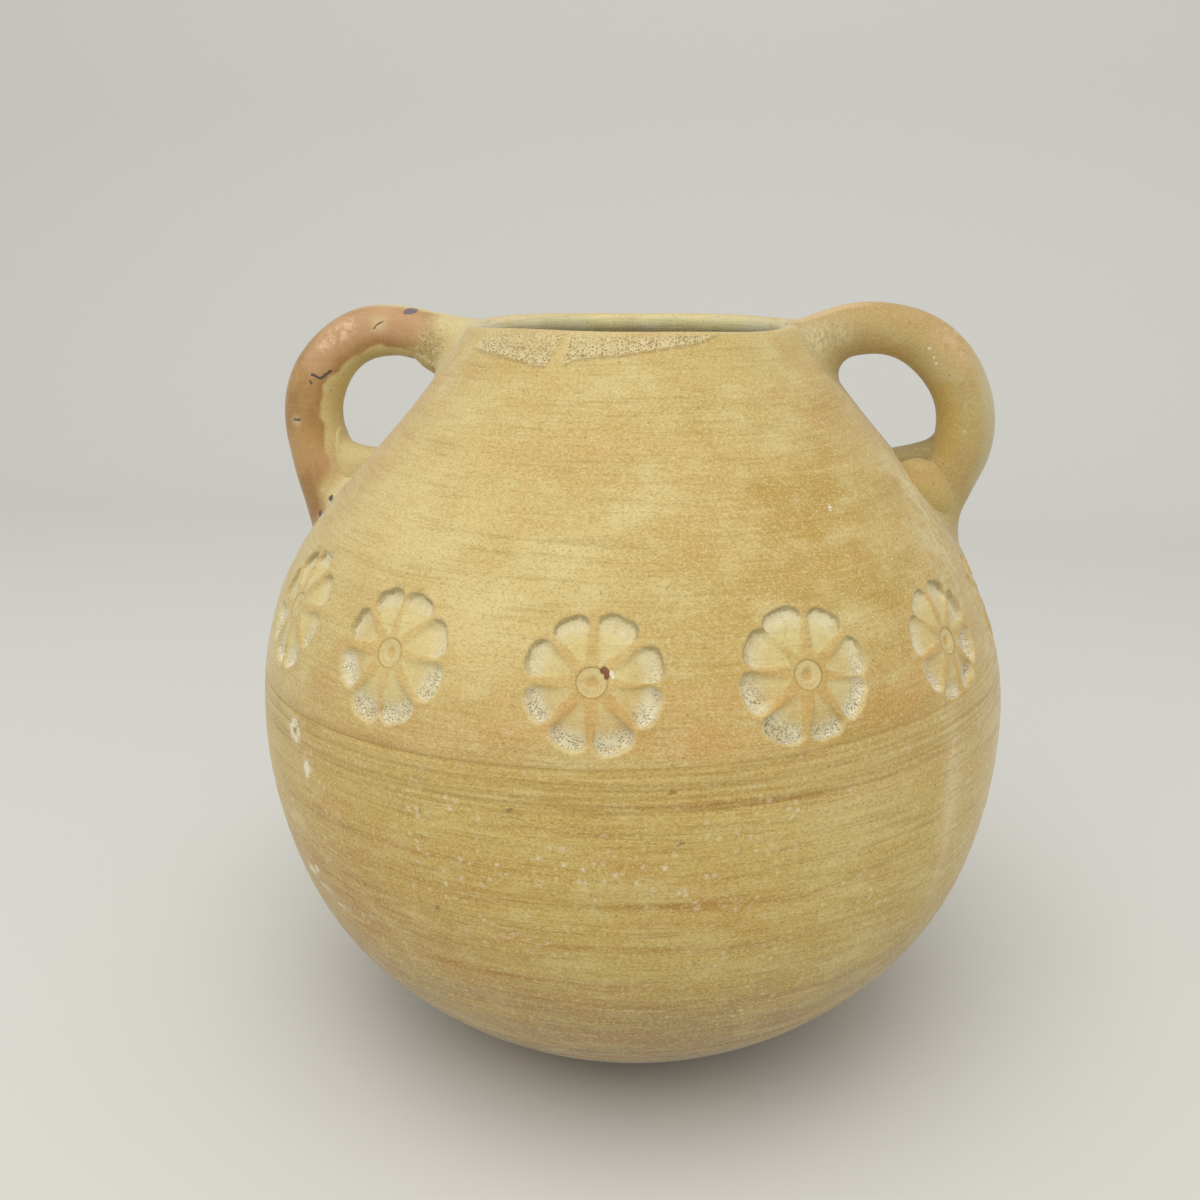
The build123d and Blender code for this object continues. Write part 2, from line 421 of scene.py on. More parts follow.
def petal_distance(u, v, pick):
    """Distance outside the nearest petal's edge, negative inside, the place along that petal and the
    distance from the boss. A petal is a wedge cut off by a circle, with rounded corners; all petals
    fold on to one, each a little longer, wider or turned by random amounts."""
    step = 2 * pi / petal_count
    bearing = np.arctan2(v, u) + step / 2
    petal = np.floor(bearing / step).astype(int) % petal_count
    length, width, swing = pick.normal(petal_means, petal_spreads, (petal_count, 3)).T
    fold = bearing % step - step / 2 + swing[petal]
    reach = np.hypot(u, v)
    far = reach / length[petal]
    x = far * np.cos(fold)
    y = np.abs(far * np.sin(fold)) / width[petal]
    wedge = y * cos(petal_half_angle) - (x - petal_tip_at) * sin(petal_half_angle) + petal_corner
    arc = far - rosette_radius + petal_corner
    edge = np.hypot(np.maximum(wedge, 0), np.maximum(arc, 0)) + np.minimum(np.maximum(wedge, arc), 0)
    return edge - petal_corner, x, reach


def stamped(angle, length, radius):
    """Depth pressed into the wall by the rosettes, and the distances from the nearest petal's edge and from
    the boss. Each petal deepens to its outer end and to the side that the stamp leaned to, the boss is
    a ring round a dimple, and a little clay swells up along the petals' edges."""
    total = np.zeros_like(length + angle)
    from_edge = total + stamp_reach
    from_boss = total + 2 * stamp_reach
    deepest_at = rosette_radius - 1.5
    for count, (towards, level, turn, lean_u, lean_v) in enumerate(rosettes):
        u = turn_from(angle, towards) * radius
        v = length - length_at_height(level)
        near = (np.abs(u) < stamp_reach) & (np.abs(v) < stamp_reach)
        if not near.any():
            continue
        u = u[near]
        v = v[near]
        spin = radians(turn + 180 / petal_count + 90)
        turned_u = u * cos(spin) + v * sin(spin)
        turned_v = -u * sin(spin) + v * cos(spin)
        edge, place, reach = petal_distance(turned_u, turned_v, np.random.default_rng(60 + count))
        from_edge[near] = edge
        from_boss[near] = reach
        share = np.clip((place - petal_tip_at) / (deepest_at - petal_tip_at), 0, 1) ** 1.7
        lean = 1 + (lean_u * u + lean_v * v) / rosette_radius
        deep = (petal_tip_depth + (petal_end_depth - petal_tip_depth) * share) * lean
        hollow = deep * smooth(edge, 0.1, -petal_edge)
        boss = boss_depth * smooth(reach, boss_radius + 0.25, boss_radius - 0.2)
        boss += dimple_depth * smooth(reach, dimple_radius + 0.2, dimple_radius - 0.3)
        boss -= boss_ring_height * np.exp(-(((reach - boss_ring_radius) / boss_ring_width) ** 2))
        swell = swell_height * np.exp(-(((edge - swell_width) / swell_width) ** 2)) * (reach > swell_from)
        total[near] += hollow + boss - swell * smooth(reach, rosette_radius + 2, rosette_radius)
    return total, from_edge, from_boss


def scraped(angle, height):
    """Depth of the rings that the scraper left on the bowl. Each is a fine groove that wanders and fades."""
    pick = np.random.default_rng(11)
    total = np.zeros_like(angle + height)
    side = np.cos(angle) * belly_radius
    for level in pick.uniform(*scraped_heights, scraper_rings):
        depth = pick.uniform(0.03, 0.13)
        width = pick.uniform(0.35, 0.8)
        tilt = pick.normal(0.012, 0.008)
        phase, phase_two = pick.uniform(0, 2 * pi, 2)
        wander = 0.5 * np.sin(angle + phase) + 0.25 * np.sin(3 * angle + phase_two)
        fade = np.clip(0.5 + 0.9 * np.sin(angle * pick.integers(1, 4) + phase_two), 0, 1)
        total += depth * fade * np.exp(-(((height - level - tilt * side - wander) / width) ** 2))
    return total


def seam(angle, height):
    """Depth of the fine scraped lines along the joint of bowl and shoulder; each wanders and fades."""
    above = height - joint_level(angle, belly_radius)
    total = 0
    for below, depth, width, phase in seam_lines:
        sway = 0.22 * np.sin(2 * angle + phase) + 0.12 * np.sin(5 * angle + 2 * phase)
        fade = np.clip(0.7 + 0.6 * np.sin(angle + phase) + 0.3 * np.sin(4 * angle + phase), 0.15, 1)
        total = total + depth * fade * np.exp(-(((above + below + sway) / width) ** 2))
    return total


def ring_points(angle, length, lift=0.0):
    """Points of the wall at directions and lengths, lifted off it along its normal."""
    out_r = np.interp(length, along, outward[:, 0])
    out_z = np.interp(length, along, outward[:, 1])
    size = np.hypot(out_r, out_z)
    radius = radius_at(length) + lift * out_r / size
    height = height_at(length) + lift * out_z / size
    return np.stack([radius * np.cos(angle), radius * np.sin(angle), height + 0 * angle], -1)


def wall_point(angle, length, lift):
    """Point off the hand-built outer wall, wobble included."""
    return ring_points(angle, length, lift + wall_lift(angle, height_at(length), length))


def ring_quads(rows, columns, wrap=False):
    """Quads of a grid of rings, facing out where columns run round the axis and rows run up the outside."""
    row = np.arange(rows if wrap else rows - 1)[:, None] * columns
    above = (row + columns) % (rows * columns)
    column = np.arange(columns)[None, :]
    beside = (column + 1) % columns
    return np.stack([row + column, row + beside, above + beside, above + column], -1).reshape(-1, 4)


def fan(pole, start, columns, first):
    """Triangles that close the first or last ring of a grid on a pole point."""
    column = np.arange(columns)
    beside = (column + 1) % columns
    ring = [start + beside, start + column] if first else [start + column, start + beside]
    return np.stack([np.full(columns, pole), *ring], 1)


def close_ends(rings, first_pole, last_pole):
    """Points of a tube of rings with its two pole points last, and the faces that close it."""
    rows, columns = rings.shape[:2]
    pole = rows * columns
    points = np.concatenate([rings.reshape(-1, 3), [first_pole, last_pole]])
    last_start = pole - columns
    fans = np.concatenate([fan(pole, 0, columns, True), fan(pole + 1, last_start, columns, False)])
    return points, ring_quads(rows, columns), fans


def padded(values, count, rest=0.0):
    """Point values of a grid, followed by one value for the points that come after it."""
    return np.concatenate([np.ravel(values), np.full(count, rest)])


no_fans = np.zeros((0, 3), int)


def add_piece(name, points, quads, fans, material, marks=None, crease=70):
    """Makes a smooth mesh from points in millimetres, sharp where faces meet at more than a crease in
    degrees, with named point values."""
    mesh = bpy.data.meshes.new(name)
    corners = np.concatenate([quads.ravel(), fans.ravel()]).astype(np.int32)
    sizes = np.concatenate([np.full(len(quads), 4), np.full(len(fans), 3)])
    mesh.vertices.add(len(points))
    mesh.vertices.foreach_set("co", (points * MM).astype(np.float32).ravel())
    mesh.loops.add(len(corners))
    mesh.loops.foreach_set("vertex_index", corners)
    mesh.polygons.add(len(sizes))
    mesh.polygons.foreach_set("loop_start", (np.cumsum(sizes) - sizes).astype(np.int32))
    mesh.polygons.foreach_set("use_smooth", np.ones(len(sizes), bool))
    mesh.update(calc_edges=True)
    mesh.set_sharp_from_angle(angle=radians(crease))
    for mark, values in (marks or {}).items():
        layer = mesh.attributes.new(mark, "FLOAT", "POINT")
        layer.data.foreach_set("value", np.asarray(values, np.float32).ravel())
    mesh.materials.append(material)
    piece = bpy.data.objects.new(name, mesh)
    bpy.context.scene.collection.objects.link(piece)
    return piece


def linear(code):
    """Scene-linear colour from an sRGB hex code."""
    parts = [int(code[i : i + 2], 16) / 255 for i in (1, 3, 5)]
    return [p / 12.92 if p <= 0.04045 else ((p + 0.055) / 1.055) ** 2.4 for p in parts] + [1.0]


def node(tree, kind, *inputs, out=None, **settings):
    """Adds a node with its settings, sets its open inputs in order, or links those that are outputs of other
    nodes, leaves an input that is None, and returns the named output or else the first open one."""
    made = tree.nodes.new("ShaderNode" + kind)
    for name, value in settings.items():
        setattr(made, name, value)
    for socket, value in zip([socket for socket in made.inputs if socket.enabled], inputs):
        if isinstance(value, bpy.types.NodeSocket):
            tree.links.new(value, socket)
        elif value is not None:
            socket.default_value = value
    return made.outputs[out] if out else [socket for socket in made.outputs if socket.enabled][0]


def share_of(tree, *parts):
    """Product of parts. A part is a number, a value, or a value with the two levels between which it rises
    smoothly from 0 to 1, and with two other ends where it goes from and to something else."""
    total = None
    for part in parts:
        if isinstance(part, tuple):
            part = node(tree, "MapRange", *part, interpolation_type="SMOOTHSTEP")
        total = part if total is None else node(tree, "Math", total, part, operation="MULTIPLY")
    return total


def coat(tree, colour, code, *parts):
    """Lays a colour over what is below it, by the product of its parts."""
    return node(tree, "Mix", share_of(tree, *parts), colour, linear(code), data_type="RGBA")


def grain(tree, place, size, detail, rough, shift=0.0):
    """Noise with features of a size in millimetres along X, Y and Z."""
    scale = [1 / (side * MM) for side in size]
    scaled = node(tree, "VectorMath", place, scale, [shift] * 3, operation="MULTIPLY_ADD")
    return node(tree, "TexNoise", scaled, 1.0, detail, rough)


def specks(tree, place, size, radius, share, shift):
    """Small round spots: cells of a size, each with a spot of up to a radius in a share of the cells."""
    scale = [1 / (size * MM)] * 3
    scaled = node(tree, "VectorMath", place, scale, [shift] * 3, operation="MULTIPLY_ADD")
    away = node(tree, "TexVoronoi", scaled, 1.0)
    chance = node(tree, "SeparateColor", away.node.outputs["Color"])
    return share_of(tree, (away, radius / size, 0.35 * radius / size), (chance, share, share * 0.85))


crisp = "crisp"


def lay(tree, place, colour, marks):
    """Lays colours by named point values: soft, broken up by a grain of a size, or crisp with a ragged
    edge."""
    for mark, code, strength, *edge in marks:
        share = node(tree, "Attribute", attribute_name=mark, out="Fac")
        if edge == [crisp]:
            rag = grain(tree, place, (0.6, 0.6, 0.6), 2, 0.5, 5.2)
            rag = node(tree, "Math", rag, 0.9, -0.45, operation="MULTIPLY_ADD")
            share = (node(tree, "Math", share, rag, operation="ADD"), 0.4, 0.58)
        elif edge:
            gaps = (grain(tree, place, *edge, 3, 0.6, 1.3), 0.42, 0.6)
            share = share_of(tree, share, gaps)
        colour = coat(tree, colour, code, share, strength)
    return colour


def petals(tree, place, height, colour, relief):
    """Chalk in the stamped petals: floors a little paler than the wall, whiter ends with fine pits, most of
    them in the lower petals, painted shade along the ends of the upper ones and a painted highlight along
    the ends of the lower, and a pale boss in a dark ring. The pits are drawn coarser than real so that they
    show."""
    middle = rosette_height * MM
    rag = grain(tree, place, (1.2, 1.2, 1.2), 3, 0.6, 6.0)
    rag = node(tree, "Math", rag, 0.5, operation="SUBTRACT")
    edge = node(tree, "Attribute", attribute_name="petal_edge", out="Fac")
    edge = node(tree, "Math", edge, rag, operation="ADD")
    reach = node(tree, "Attribute", attribute_name="boss_reach", out="Fac")
    dusty = share_of(tree, (grain(tree, place, (3.5, 3.5, 3.5), 4, 0.7, 2.7), 0.3, 0.62, 0.45, 1.0))
    low = share_of(tree, (height, middle + 4 * MM, middle - 6 * MM, 0.25, 1.0))
    upper = (height, middle - 2 * MM, middle + 4 * MM)
    floor = share_of(tree, (edge, 0.1, -0.4))
    crescent = share_of(tree, floor, (reach, rosette_radius - 4.4, rosette_radius - 1.2))
    end = share_of(tree, dusty, (reach, rosette_radius - 2.2, rosette_radius - 0.9))

    in_rosette = (reach, rosette_radius + 1.5, rosette_radius - 1)
    colour = coat(tree, colour, "#CDA560", (edge, -0.2, 0.2), in_rosette, 0.28)
    colour = coat(tree, colour, "#DDCF94", floor, dusty, 0.5)
    colour = coat(tree, colour, "#EBE3C4", crescent, dusty, (low, 0.0, 1.0, 0.4, 0.9))
    # Painted shade along the outer ends of the upper petals, under their steep outer walls
    colour = coat(tree, colour, "#7E6C3C", (edge, -0.55, -0.25), (edge, 0.2, -0.05), end, upper, 0.6)
    # Painted highlight along the outer ends of the lower petals
    colour = coat(tree, colour, "#EADFB0", (edge, -0.3, 0.0), (edge, 0.55, 0.1), end, low, 0.4)

    in_chalk = share_of(tree, (grain(tree, place, (6, 6, 6), 2, 0.5, 3.3), 0.3, 0.42), crescent, low)
    on_boss = share_of(
        tree,
        (reach, boss_radius, boss_radius - 0.4),
        (reach, dimple_radius, dimple_radius + 0.4, 0.0, 0.35),
    )
    small = specks(tree, place, 0.36, 0.17, 0.95, 4.0)
    large = specks(tree, place, 0.5, 0.22, 0.7, 7.0)
    pits = share_of(
        tree,
        node(tree, "Math", small, large, operation="MAXIMUM"),
        node(tree, "Math", in_chalk, on_boss, operation="MAXIMUM"),
    )
    colour = coat(tree, colour, "#7C6B40", pits, 0.62)
    boss_edge = (reach, boss_radius + 0.35, boss_radius - 0.05)
    dimple_edge = (reach, dimple_radius - 0.2, dimple_radius + 0.2)
    colour = coat(tree, colour, "#E2D49C", boss_edge, dimple_edge, dusty, 0.55)
    ring_outer = (reach, boss_radius + 0.6, boss_radius + 0.35)
    ring_inner = (reach, boss_radius + 0.05, boss_radius + 0.25)
    colour = coat(tree, colour, "#8E7838", ring_outer, ring_inner, dusty, 0.55)
    return colour, node(tree, "Math", pits, -2.0, relief, operation="MULTIPLY_ADD")


def clay(
    name,
    tones,
    streak,
    speck,
    rough=0.85,
    tints=(),
    marks=(),
    stamp=False,
    low_tone=None,
    pitted=0.0,
    flaked=False,
    grit=1.0,
    calm=None,
    clouds=13.0,
    patched=0.0,
):
    """Unglazed clay in a main, a warm, a pale and a dark tone. Tints lie under its grain and marks over it.
    Streak is how strong the strokes are and speck how many white spots there are. Stamp colours the petals,
    low_tone darkens the foot, partly as a greyer clay and partly as painted shade, pitted is how dark the
    holes of the rough clay are and flaked crowds white spots by a point value. Grit is how strong the grain
    is, calm names a point value that smooths it away, clouds is the height of a cloud in millimetres and
    patched is how strong the small rubbed patches are."""
    material = bpy.data.materials.new(name)
    material.use_nodes = True
    tree = material.node_tree
    place = node(tree, "TexCoord", out="Object")
    height = node(tree, "SeparateXYZ", place, out="Z")
    main, warm, pale, dark = tones

    # Warm and pale clouds, drawn out round the pot
    flush = grain(tree, place, (30, 30, clouds), 4, 0.62)
    bloom = grain(tree, place, (22, 22, clouds * 0.6), 5, 0.65, 7.3)
    colour = coat(tree, linear(main), warm, (flush, 0.44, 0.66), 0.6)
    colour = coat(tree, colour, pale, (bloom, 0.5, 0.7), 0.55)
    if low_tone:
        broken = (grain(tree, place, (30, 30, 5), 4, 0.6, 2.1), 0.3, 0.55, 0.35, 1.0)
        colour = coat(tree, colour, low_tone, (height, 64 * MM, 12 * MM), broken)
    colour = lay(tree, place, colour, tints)
    if patched:
        patches = grain(tree, place, (9, 9, 5.5), 4, 0.66, 6.1)
        colour = coat(tree, colour, pale, (patches, 0.5, 0.68), patched)
        colour = coat(tree, colour, warm, (patches, 0.48, 0.32), patched)

    # Strokes and sandy grain, drawn a little coarser than real so that they show
    wiped = grain(tree, place, (30, 30, 0.9), 3, 0.6, 4.4)
    fine = grain(tree, place, (11, 11, 0.4), 2, 0.55, 9.1)
    strokes = node(tree, "Math", wiped, 0.45, share_of(tree, fine, 0.55), operation="MULTIPLY_ADD")
    colour = coat(tree, colour, dark, (strokes, 0.5, 0.36), streak)
    colour = coat(tree, colour, pale, (strokes, 0.52, 0.66), streak * 0.8)
    sand = grain(tree, place, (0.55, 0.55, 0.34), 2, 0.7, 1.7)
    if calm:
        calmed = node(tree, "Attribute", attribute_name=calm, out="Fac")
        grit = node(tree, "Math", calmed, -0.6 * grit, grit, operation="MULTIPLY_ADD")
    colour = coat(tree, colour, dark, (sand, 0.49, 0.33), 0.42, grit)
    colour = coat(tree, colour, pale, (sand, 0.52, 0.66), 0.5, grit)

    # White grains in crowds, and small pits
    white = specks(tree, place, 2.4, 0.8, 0.45 * speck, 3.0)
    crowd = share_of(tree, (grain(tree, place, (24, 24, 14), 3, 0.6, 5.0), 0.42, 0.62), 0.6)
    if flaked:
        crowded = node(tree, "Attribute", attribute_name="white", out="Fac")
        crowd = node(tree, "Math", crowd, crowded, operation="MAXIMUM")
        white = node(tree, "Math", white, specks(tree, place, 1.7, 0.75, 0.4, 1.0), operation="MAXIMUM")
    ragged = (grain(tree, place, (0.5, 0.5, 0.5), 3, 0.6, 2.2), 0.4, 0.54)
    colour = coat(tree, colour, "#EBE2C4", white, ragged, crowd, 0.58)
    pits = specks(tree, place, 2.2, 0.3, 0.3, 8.0)
    colour = coat(tree, colour, dark, pits, 0.6)

    relief = share_of(tree, strokes, 2.6 * streak)
    relief = node(tree, "Math", sand, 0.8, relief, operation="MULTIPLY_ADD")
    relief = node(tree, "Math", pits, -1.2, relief, operation="MULTIPLY_ADD")
    if stamp:
        colour, relief = petals(tree, place, height, colour, relief)
    colour = lay(tree, place, colour, marks)
    if pitted:
        rough_at = node(tree, "Attribute", attribute_name="rough", out="Fac")
        colour = coat(tree, colour, "#EADDB0", specks(tree, place, 0.9, 0.5, 0.5, 3.7), rough_at, 0.5)
        small = specks(tree, place, 0.46, 0.21, 0.85, 6.0)
        large = specks(tree, place, 0.7, 0.28, 0.65, 2.0)
        holes = node(tree, "Math", small, large, operation="MAXIMUM")
        holes = share_of(tree, holes, (rough_at, 0.2, 0.9))
        colour = coat(tree, colour, "#7E6638", holes, pitted)
        relief = node(tree, "Math", holes, -2.0, relief, operation="MULTIPLY_ADD")

    shader = tree.nodes["Principled BSDF"]
    bump = node(tree, "Bump", 0.6, 0.16 * MM, None, relief)
    tree.links.new(bump, shader.inputs["Normal"])
    tree.links.new(colour, shader.inputs["Base Color"])
    shader.inputs["Roughness"].default_value = rough
    shader.inputs["Specular IOR Level"].default_value = 0.3
    shader.inputs["Sheen Weight"].default_value = 0.3
    shader.inputs["Sheen Roughness"].default_value = 0.4
    return material


# Materials: unglazed earthenware throughout, which is matte, with a faint dusty sheen at its edges
wall_tones = ("#CBB270", "#C7A060", "#DDCF96", "#A2864A")
cream_tones = ("#D3C288", "#CDB27A", "#DED3A4", "#A58A54")
# Inside the neck and rim: a near-white coat that is painted light, lifting the inner wall out of its shade,
# then yellow and grey blotches that are the clay's own
inside_tints = [
    ("inside", "#F4ECC6", 0.95),
    ("inside", "#EEDF90", 0.6, (16, 16, 9)),
    ("inside", "#CBC698", 0.5, (11, 11, 6)),
]

# Wiped earthenware: the wet hand leaves soft level strokes and broad ochre and orange clouds, and the
# stamps hold pale chalk
wiped_earthenware = clay(
    "wiped_earthenware",
    wall_tones,
    streak=0.3,
    speck=0.2,
    stamp=True,
    clouds=24.0,
    grit=1.1,
    patched=0.34,
    tints=[
        ("tan", "#B99749", 0.88, (30, 30, 22)),
        ("band", "#D0A05E", 0.6, (26, 26, 5)),
        # Painted light on the left of the shoulder
        ("painted_light", "#E2CC8E", 0.6),
        *inside_tints,
    ],
    marks=[
        # Painted shade in the seam's fine grooves
        ("groove", "#967638", 0.5),
        ("smear", "#DCD2A4", 0.6, (2.5, 2.5, 5)),
        ("chip", "#7A4E34", 0.92, crisp),
        ("fleck", "#E8E0C8", 0.9, crisp),
    ],
)

# Pinched earthenware: the shoulder's colours, with a painted highlight in pale orange along the lip,
# strongest at the front, and crumbly pitted clay where it was left unwiped
pinched_earthenware = clay(
    "pinched_earthenware",
    wall_tones,
    streak=0.28,
    speck=0.2,
    pitted=0.7,
    clouds=24.0,
    patched=0.14,
    tints=[
        ("rough", "#DECB9C", 0.8),
        ("ledge", "#8C7440", 0.65),
        *inside_tints,
        # Painted highlight along the crest of the lip, strongest at the front
        ("lip_highlight", "#E3C59C", 0.65),
    ],
)

# Scraped earthenware: the dragged scraper leaves dark level lines, rusty streaks and opened white grains
scraped_earthenware = clay(
    "scraped_earthenware",
    ("#CAAF64", "#C3974E", "#DDCC8E", "#9B7C3E"),
    streak=0.42,
    speck=0.8,
    # The foot is darkened, partly a greyer clay and partly painted shade under the pot
    low_tone="#87745A",
    flaked=True,
    clouds=10.0,
    grit=1.15,
    patched=0.3,
    tints=[
        ("upper", "#CBAE69", 0.8),
        # Painted light on the right of the bowl
        ("painted_light", "#D6BE80", 0.6),
        # Painted light down the right of the bowl
        ("streak", "#E6D4A8", 0.62),
        ("rust", "#B58C4C", 0.45),
        ("rust", "#AD7A3A", 0.75, (9, 9, 0.8)),
        ("inside", "#BDB388", 0.8),
    ],
    marks=[
        # Painted shade in the seam's fine grooves
        ("groove", "#90702F", 0.6),
        ("smear", "#E9E0C2", 0.8, (0.8, 0.8, 1.6)),
        ("dab", "#EBE2C6", 0.85, crisp),
        ("spot", "#7C6844", 0.6, crisp),
    ],
)

# Cream earthenware burnished with orange slip: smooth and a little shiny, with dark cracks and a bare
# inner side
burnished_earthenware = clay(
    "burnished_earthenware",
    cream_tones,
    streak=0.07,
    speck=0.2,
    rough=0.66,
    pitted=0.4,
    grit=0.7,
    calm="burnish",
    tints=[
        ("burnish", "#AB8049", 0.93),
        ("burnish", "#C29962", 0.55, (12, 12, 14)),
        ("burnish", "#93693A", 0.45, (6, 6, 10)),
        ("blush", "#CFA47C", 0.6),
        # Painted highlight: a peach patch where the crown catches the light
        ("peach_highlight", "#E4C09C", 0.75, (1.6, 1.6, 1.6)),
        ("ring", "#DDD0A0", 0.5),
        # Painted shade: olive under the crown, where the loop shades it
        ("under", "#A3955F", 0.65),
        ("rough", "#C0AE78", 0.7),
        ("slip", "#D2C9AA", 0.7, (2, 2, 2)),
    ],
    marks=[("crack", "#54504A", 0.95, crisp), ("chip", "#75666A", 1.0, crisp)],
)

# Rolled earthenware: the rubbing palm leaves an even tan with little grain and a low sheen
rolled_earthenware = clay(
    "rolled_earthenware",
    ("#BCA76C", "#B4925A", "#D0C096", "#97803F"),
    streak=0.08,
    speck=0.2,
    rough=0.72,
    grit=0.65,
    tints=[
        ("burnish", "#B98F58", 0.5),
        ("edge", "#C6BC96", 0.75),
        # Painted highlight: peach patches on the crown
        ("peach_highlight", "#DDBB90", 0.5, (2, 2, 2)),
        ("seat", "#DFBE8A", 0.75),
        ("inner", "#C3A558", 0.6),
        ("smear", "#D6C898", 0.75),
        ("slip", "#D2C9AA", 0.6, (2, 2, 2)),
    ],
    marks=[("smear", "#9C8856", 0.6, (0.6, 0.6, 1.0)), ("spot", "#DDD4BA", 0.75, crisp)],
)

# Luting clay pressed in by thumb: fine and smooth, cream at the left handle and tan at the right one
# The shade tint is painted shade, with some dirt, on the right web, which sits back in the corner behind its
# lobe
luting_tints = [("shade", "#8E8158", 0.75), ("rough", "#B9A975", 0.7)]
pressed_cream_clay = clay(
    "pressed_cream_clay",
    cream_tones,
    streak=0.16,
    speck=0.2,
    rough=0.75,
    grit=0.6,
    pitted=0.4,
    tints=luting_tints,
)
pressed_tan_clay = clay(
    "pressed_tan_clay",
    ("#BEA665", "#B8935A", "#D2C292", "#97803F"),
    streak=0.18,
    speck=0.3,
    rough=0.75,
    grit=0.6,
    tints=luting_tints,
)


def build_bowl():
    """Rings from the foot's middle up the outside to the joint, and down the inside to the floor's middle.
    Rows near the joint follow its tilt. The scraper's rings and the seam's lines are cut into the outside."""
    angle = round_axis(336)
    outer_rows = np.concatenate(
        [
            spread(4, along[foot_points - 2], 6),
            spread(along[foot_points + 1], 42, 0.6),
            spread(42.6, joint_out - 10, 0.58),
            spread(joint_out - 9.6, joint_out, 0.3),
        ]
    )
    inner_rows = np.concatenate(
        [spread(joint_in, inner_belly_at, 3), spread(inner_belly_at + 3, along[-1] - 4, 4)]
    )
    outer = follow_joint(outer_rows, angle, belly_at - 22)
    inner = follow_joint(inner_rows, angle, inner_belly_at + 20, True)
    height = height_at(outer)
    groove = seam(angle, height)
    lift = wall_lift(angle, height, outer) - (scraped(angle, height) * smooth(height, 3, 16) + groove)
    rings = np.concatenate([ring_points(angle, outer, lift), ring_points(angle, inner)])
    points, quads, fans = close_ends(rings, [0, 0, 0], [0, 0, floor_thickness])

    rest = inner.size + 2
    waving = height - 0.5 * np.sin(3 * angle)
    rust = mounds(angle, waving, rust_lines).sum(0) + mounds(angle, height, rust_clouds).sum(0)
    marks = {
        "groove": padded(np.clip(groove / darkest_groove, 0, 1), rest),
        "inside": np.r_[np.zeros(outer.size), np.ones(inner.size), 0, 1],
        "rust": padded(np.clip(rust, 0, 1), rest),
        "upper": padded(smooth(height - joint_level(angle, belly_radius), -16, 0), rest),
    }
    for mark, places in bowl_marks.items():
        marks[mark] = padded(np.clip(mounds(angle, height, places).sum(0), 0, 1), rest)
    return add_piece("scraped_bowl", points, quads, fans, scraped_earthenware, marks)


def tanned(angle, height):
    """The right of the shoulder, coloured a deeper tan."""
    away = np.degrees(turn_from(angle, -90))
    return smooth(away, 0, 40) * smooth(away, 150, 120) * smooth(height, 152, 140)


def build_shoulder():
    """Rings up the outside from the joint, close together in the band of rosettes, across the rim's joint
    and down the inside. Columns crowd at the rosettes, and the petals fade out at the joint."""
    towards = np.sort(np.radians([rosette[0] for rosette in rosettes]) % (2 * pi))
    after = np.r_[towards[1:], towards[0] + 2 * pi]
    band_radius = 77.0
    half = stamp_reach / band_radius
    at_rosettes = towards + np.linspace(-half, half, 63)[:, None]
    between = np.linspace(towards + half, after - half, 9)[1:-1]
    angle = np.concatenate([at_rosettes, between]).T.reshape(1, -1)
    band = length_at_height(rosette_height)
    top = length_at_height(rim_joint_height)
    top_in = length_at_height(rim_joint_height, True)
    outer_rows = np.concatenate(
        [
            spread(joint_out, band - 12.6, 0.5)[:-1],
            spread(band - 12.6, band + 12.4, 0.4),
            spread(band + 14, top, 1.7),
        ]
    )
    outer = follow_joint(outer_rows, angle, band + 20)
    inner = follow_joint(spread(top_in, joint_in, 6), angle, inner_neck_at + 20, True)
    height = height_at(outer)
    groove = seam(angle, height)
    pressed, from_edge, from_boss = stamped(angle, outer, radius_at(outer))
    clear = smooth(outer - joint_length(angle), 0.2, 2.0)
    lift = wall_lift(angle, height, outer) - groove - pressed * clear
    rings = np.concatenate([ring_points(angle, outer, lift), ring_points(angle, inner)])
    quads = ring_quads(*rings.shape[:2], wrap=True)

    rest = inner.size
    marks = {
        "groove": padded(np.clip(groove / darkest_groove, 0, 1), rest),
        "tan": padded(tanned(angle, height), rest),
        "petal_edge": padded(from_edge + 1 - clear, rest, stamp_reach),
        "boss_reach": padded(from_boss, rest, 2 * stamp_reach),
        "inside": padded(np.zeros(outer.size), rest, 1.0),
    }
    for mark, places in shoulder_marks.items():
        marks[mark] = padded(mounds(angle, height, places).max(0), rest)
    return add_piece("stamped_shoulder", rings.reshape(-1, 3), quads, no_fans, wiped_earthenware, marks)


def rough_patch(angle, height):
    """Where the clay under the front of the lip was left rough, in two leaning lobes, roughest at their
    lower edge, and the ledge along that edge."""
    away = np.degrees(angle) % 360 - 360 - lobe_lean * (height - lobe_middle)
    patch = 0
    ledge = 0
    for directions, edge in (lobe_left, lobe_right):
        low = np.interp(away, directions, edge, left=clear_of_lip, right=clear_of_lip)
        roughness = 1 - 0.4 * smooth(height, low + 0.8, low + 3.2)
        patch = np.maximum(patch, smooth(height, low, low + 0.6) * roughness)
        ledge = np.maximum(ledge, smooth(height, low - 0.4, low) * smooth(height, low + 0.6, low + 0.2))
    below_lip = smooth(height, 159.3, 158.8) * smooth(away, -143, -135)
    return patch * below_lip, ledge * below_lip


